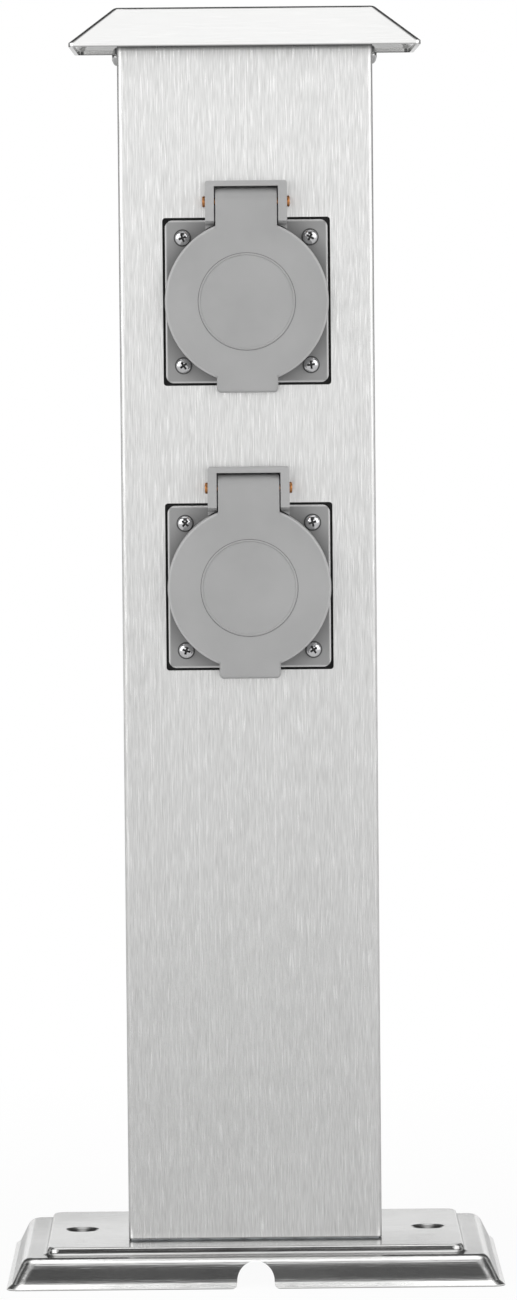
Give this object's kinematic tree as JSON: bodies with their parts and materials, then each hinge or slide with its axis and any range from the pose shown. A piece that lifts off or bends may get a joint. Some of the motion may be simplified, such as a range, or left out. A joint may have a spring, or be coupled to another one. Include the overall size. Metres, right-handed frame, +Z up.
{
  "type": "garden socket post",
  "caption": "Stainless outdoor power post on a pressed foot, with a roof cap and lidded mains sockets whose spring lids swing up.",
  "frame": {"origin": "middle of the foot's footprint, on the ground", "axes": "+Z up the post, the sockets face -Y, +X to the right as seen from the front"},
  "size_m": [0.156, 0.106, 0.4],
  "materials": {
    "foot_steel": "pressed stainless sheet with a fine crossways grain",
    "post_steel": "folded stainless sheet brushed along its length",
    "roof_steel": "pressed stainless sheet, smooth satin",
    "zinc_plate": "galvanised sheet",
    "bright_screw": "bright plated",
    "zinc_fastener": "zinc plated",
    "grey_moulding": "mid-grey moulded plastic with a fine texture",
    "grey_lid": "mid-grey moulded plastic with a fine texture",
    "black_rubber": "soft black rubber",
    "brass_pin": "plain brass, slightly darkened",
    "contact_brass": "stamped brass",
    "spring_steel": "drawn spring wire",
    "tinned_lug": "tinned copper",
    "dark_cap": "black moulded plastic",
    "white_terminal": "white moulded plastic",
    "brown_wire": "brown insulation",
    "blue_wire": "blue insulation",
    "earth_wire": "green and yellow insulation"
  },
  "bodies": {
    "root": {"base_plate": "foot_steel", "cable_grommet": "black_rubber", "earth_bond_wire": "earth_wire", "earth_lug": "tinned_lug", "earth_nuts": "zinc_fastener", "earth_stud": "zinc_fastener", "foot_bracket": "zinc_plate", "foot_nuts": "zinc_fastener", "foot_screws": "zinc_fastener", "lower_back_cap": "dark_cap", "lower_cap_screws": "zinc_fastener", "lower_clamp_screws": "zinc_fastener", "lower_earth_clip": "contact_brass", "lower_earth_wire": "earth_wire", "lower_flange_screws": "bright_screw", "lower_gasket": "black_rubber", "lower_hinge_pin": "brass_pin", "lower_lid_spring": "spring_steel", "lower_live_contact": "contact_brass", "lower_live_wire": "brown_wire", "lower_neutral_contact": "contact_brass", "lower_neutral_wire": "blue_wire", "lower_socket_body": "grey_moulding", "post_tube": "post_steel", "roof_bracket": "zinc_plate", "roof_cap": "roof_steel", "roof_screws": "bright_screw", "socket_carrier": "zinc_plate", "terminal_block": "white_terminal", "terminal_screws": "zinc_fastener", "terminal_tubes": "contact_brass", "upper_back_cap": "dark_cap", "upper_cap_screws": "zinc_fastener", "upper_clamp_screws": "zinc_fastener", "upper_earth_clip": "contact_brass", "upper_earth_wire": "earth_wire", "upper_flange_screws": "bright_screw", "upper_gasket": "black_rubber", "upper_hinge_pin": "brass_pin", "upper_lid_spring": "spring_steel", "upper_live_contact": "contact_brass", "upper_live_wire": "brown_wire", "upper_neutral_contact": "contact_brass", "upper_neutral_wire": "blue_wire", "upper_socket_body": "grey_moulding"},
    "upper_lid": {"upper_lid": "grey_lid", "upper_lid_seal": "black_rubber"},
    "lower_lid": {"lower_lid": "grey_lid", "lower_lid_seal": "black_rubber"}
  },
  "joints": [
    {"name": "upper_lid_hinge", "type": "hinge", "parent": "root", "child": "upper_lid", "pos_m": [0, -0.03372, 0.3392], "axis": [-1, 0, 0], "range_deg": [0, 92], "stiffness_Nm_per_rad": 0.012, "springref_deg": -34.38, "deforming": ["upper_lid_spring"]},
    {"name": "lower_lid_hinge", "type": "hinge", "parent": "root", "child": "lower_lid", "pos_m": [0, -0.03372, 0.2497], "axis": [-1, 0, 0], "range_deg": [0, 92], "stiffness_Nm_per_rad": 0.012, "springref_deg": -34.38, "deforming": ["lower_lid_spring"]}
  ]
}
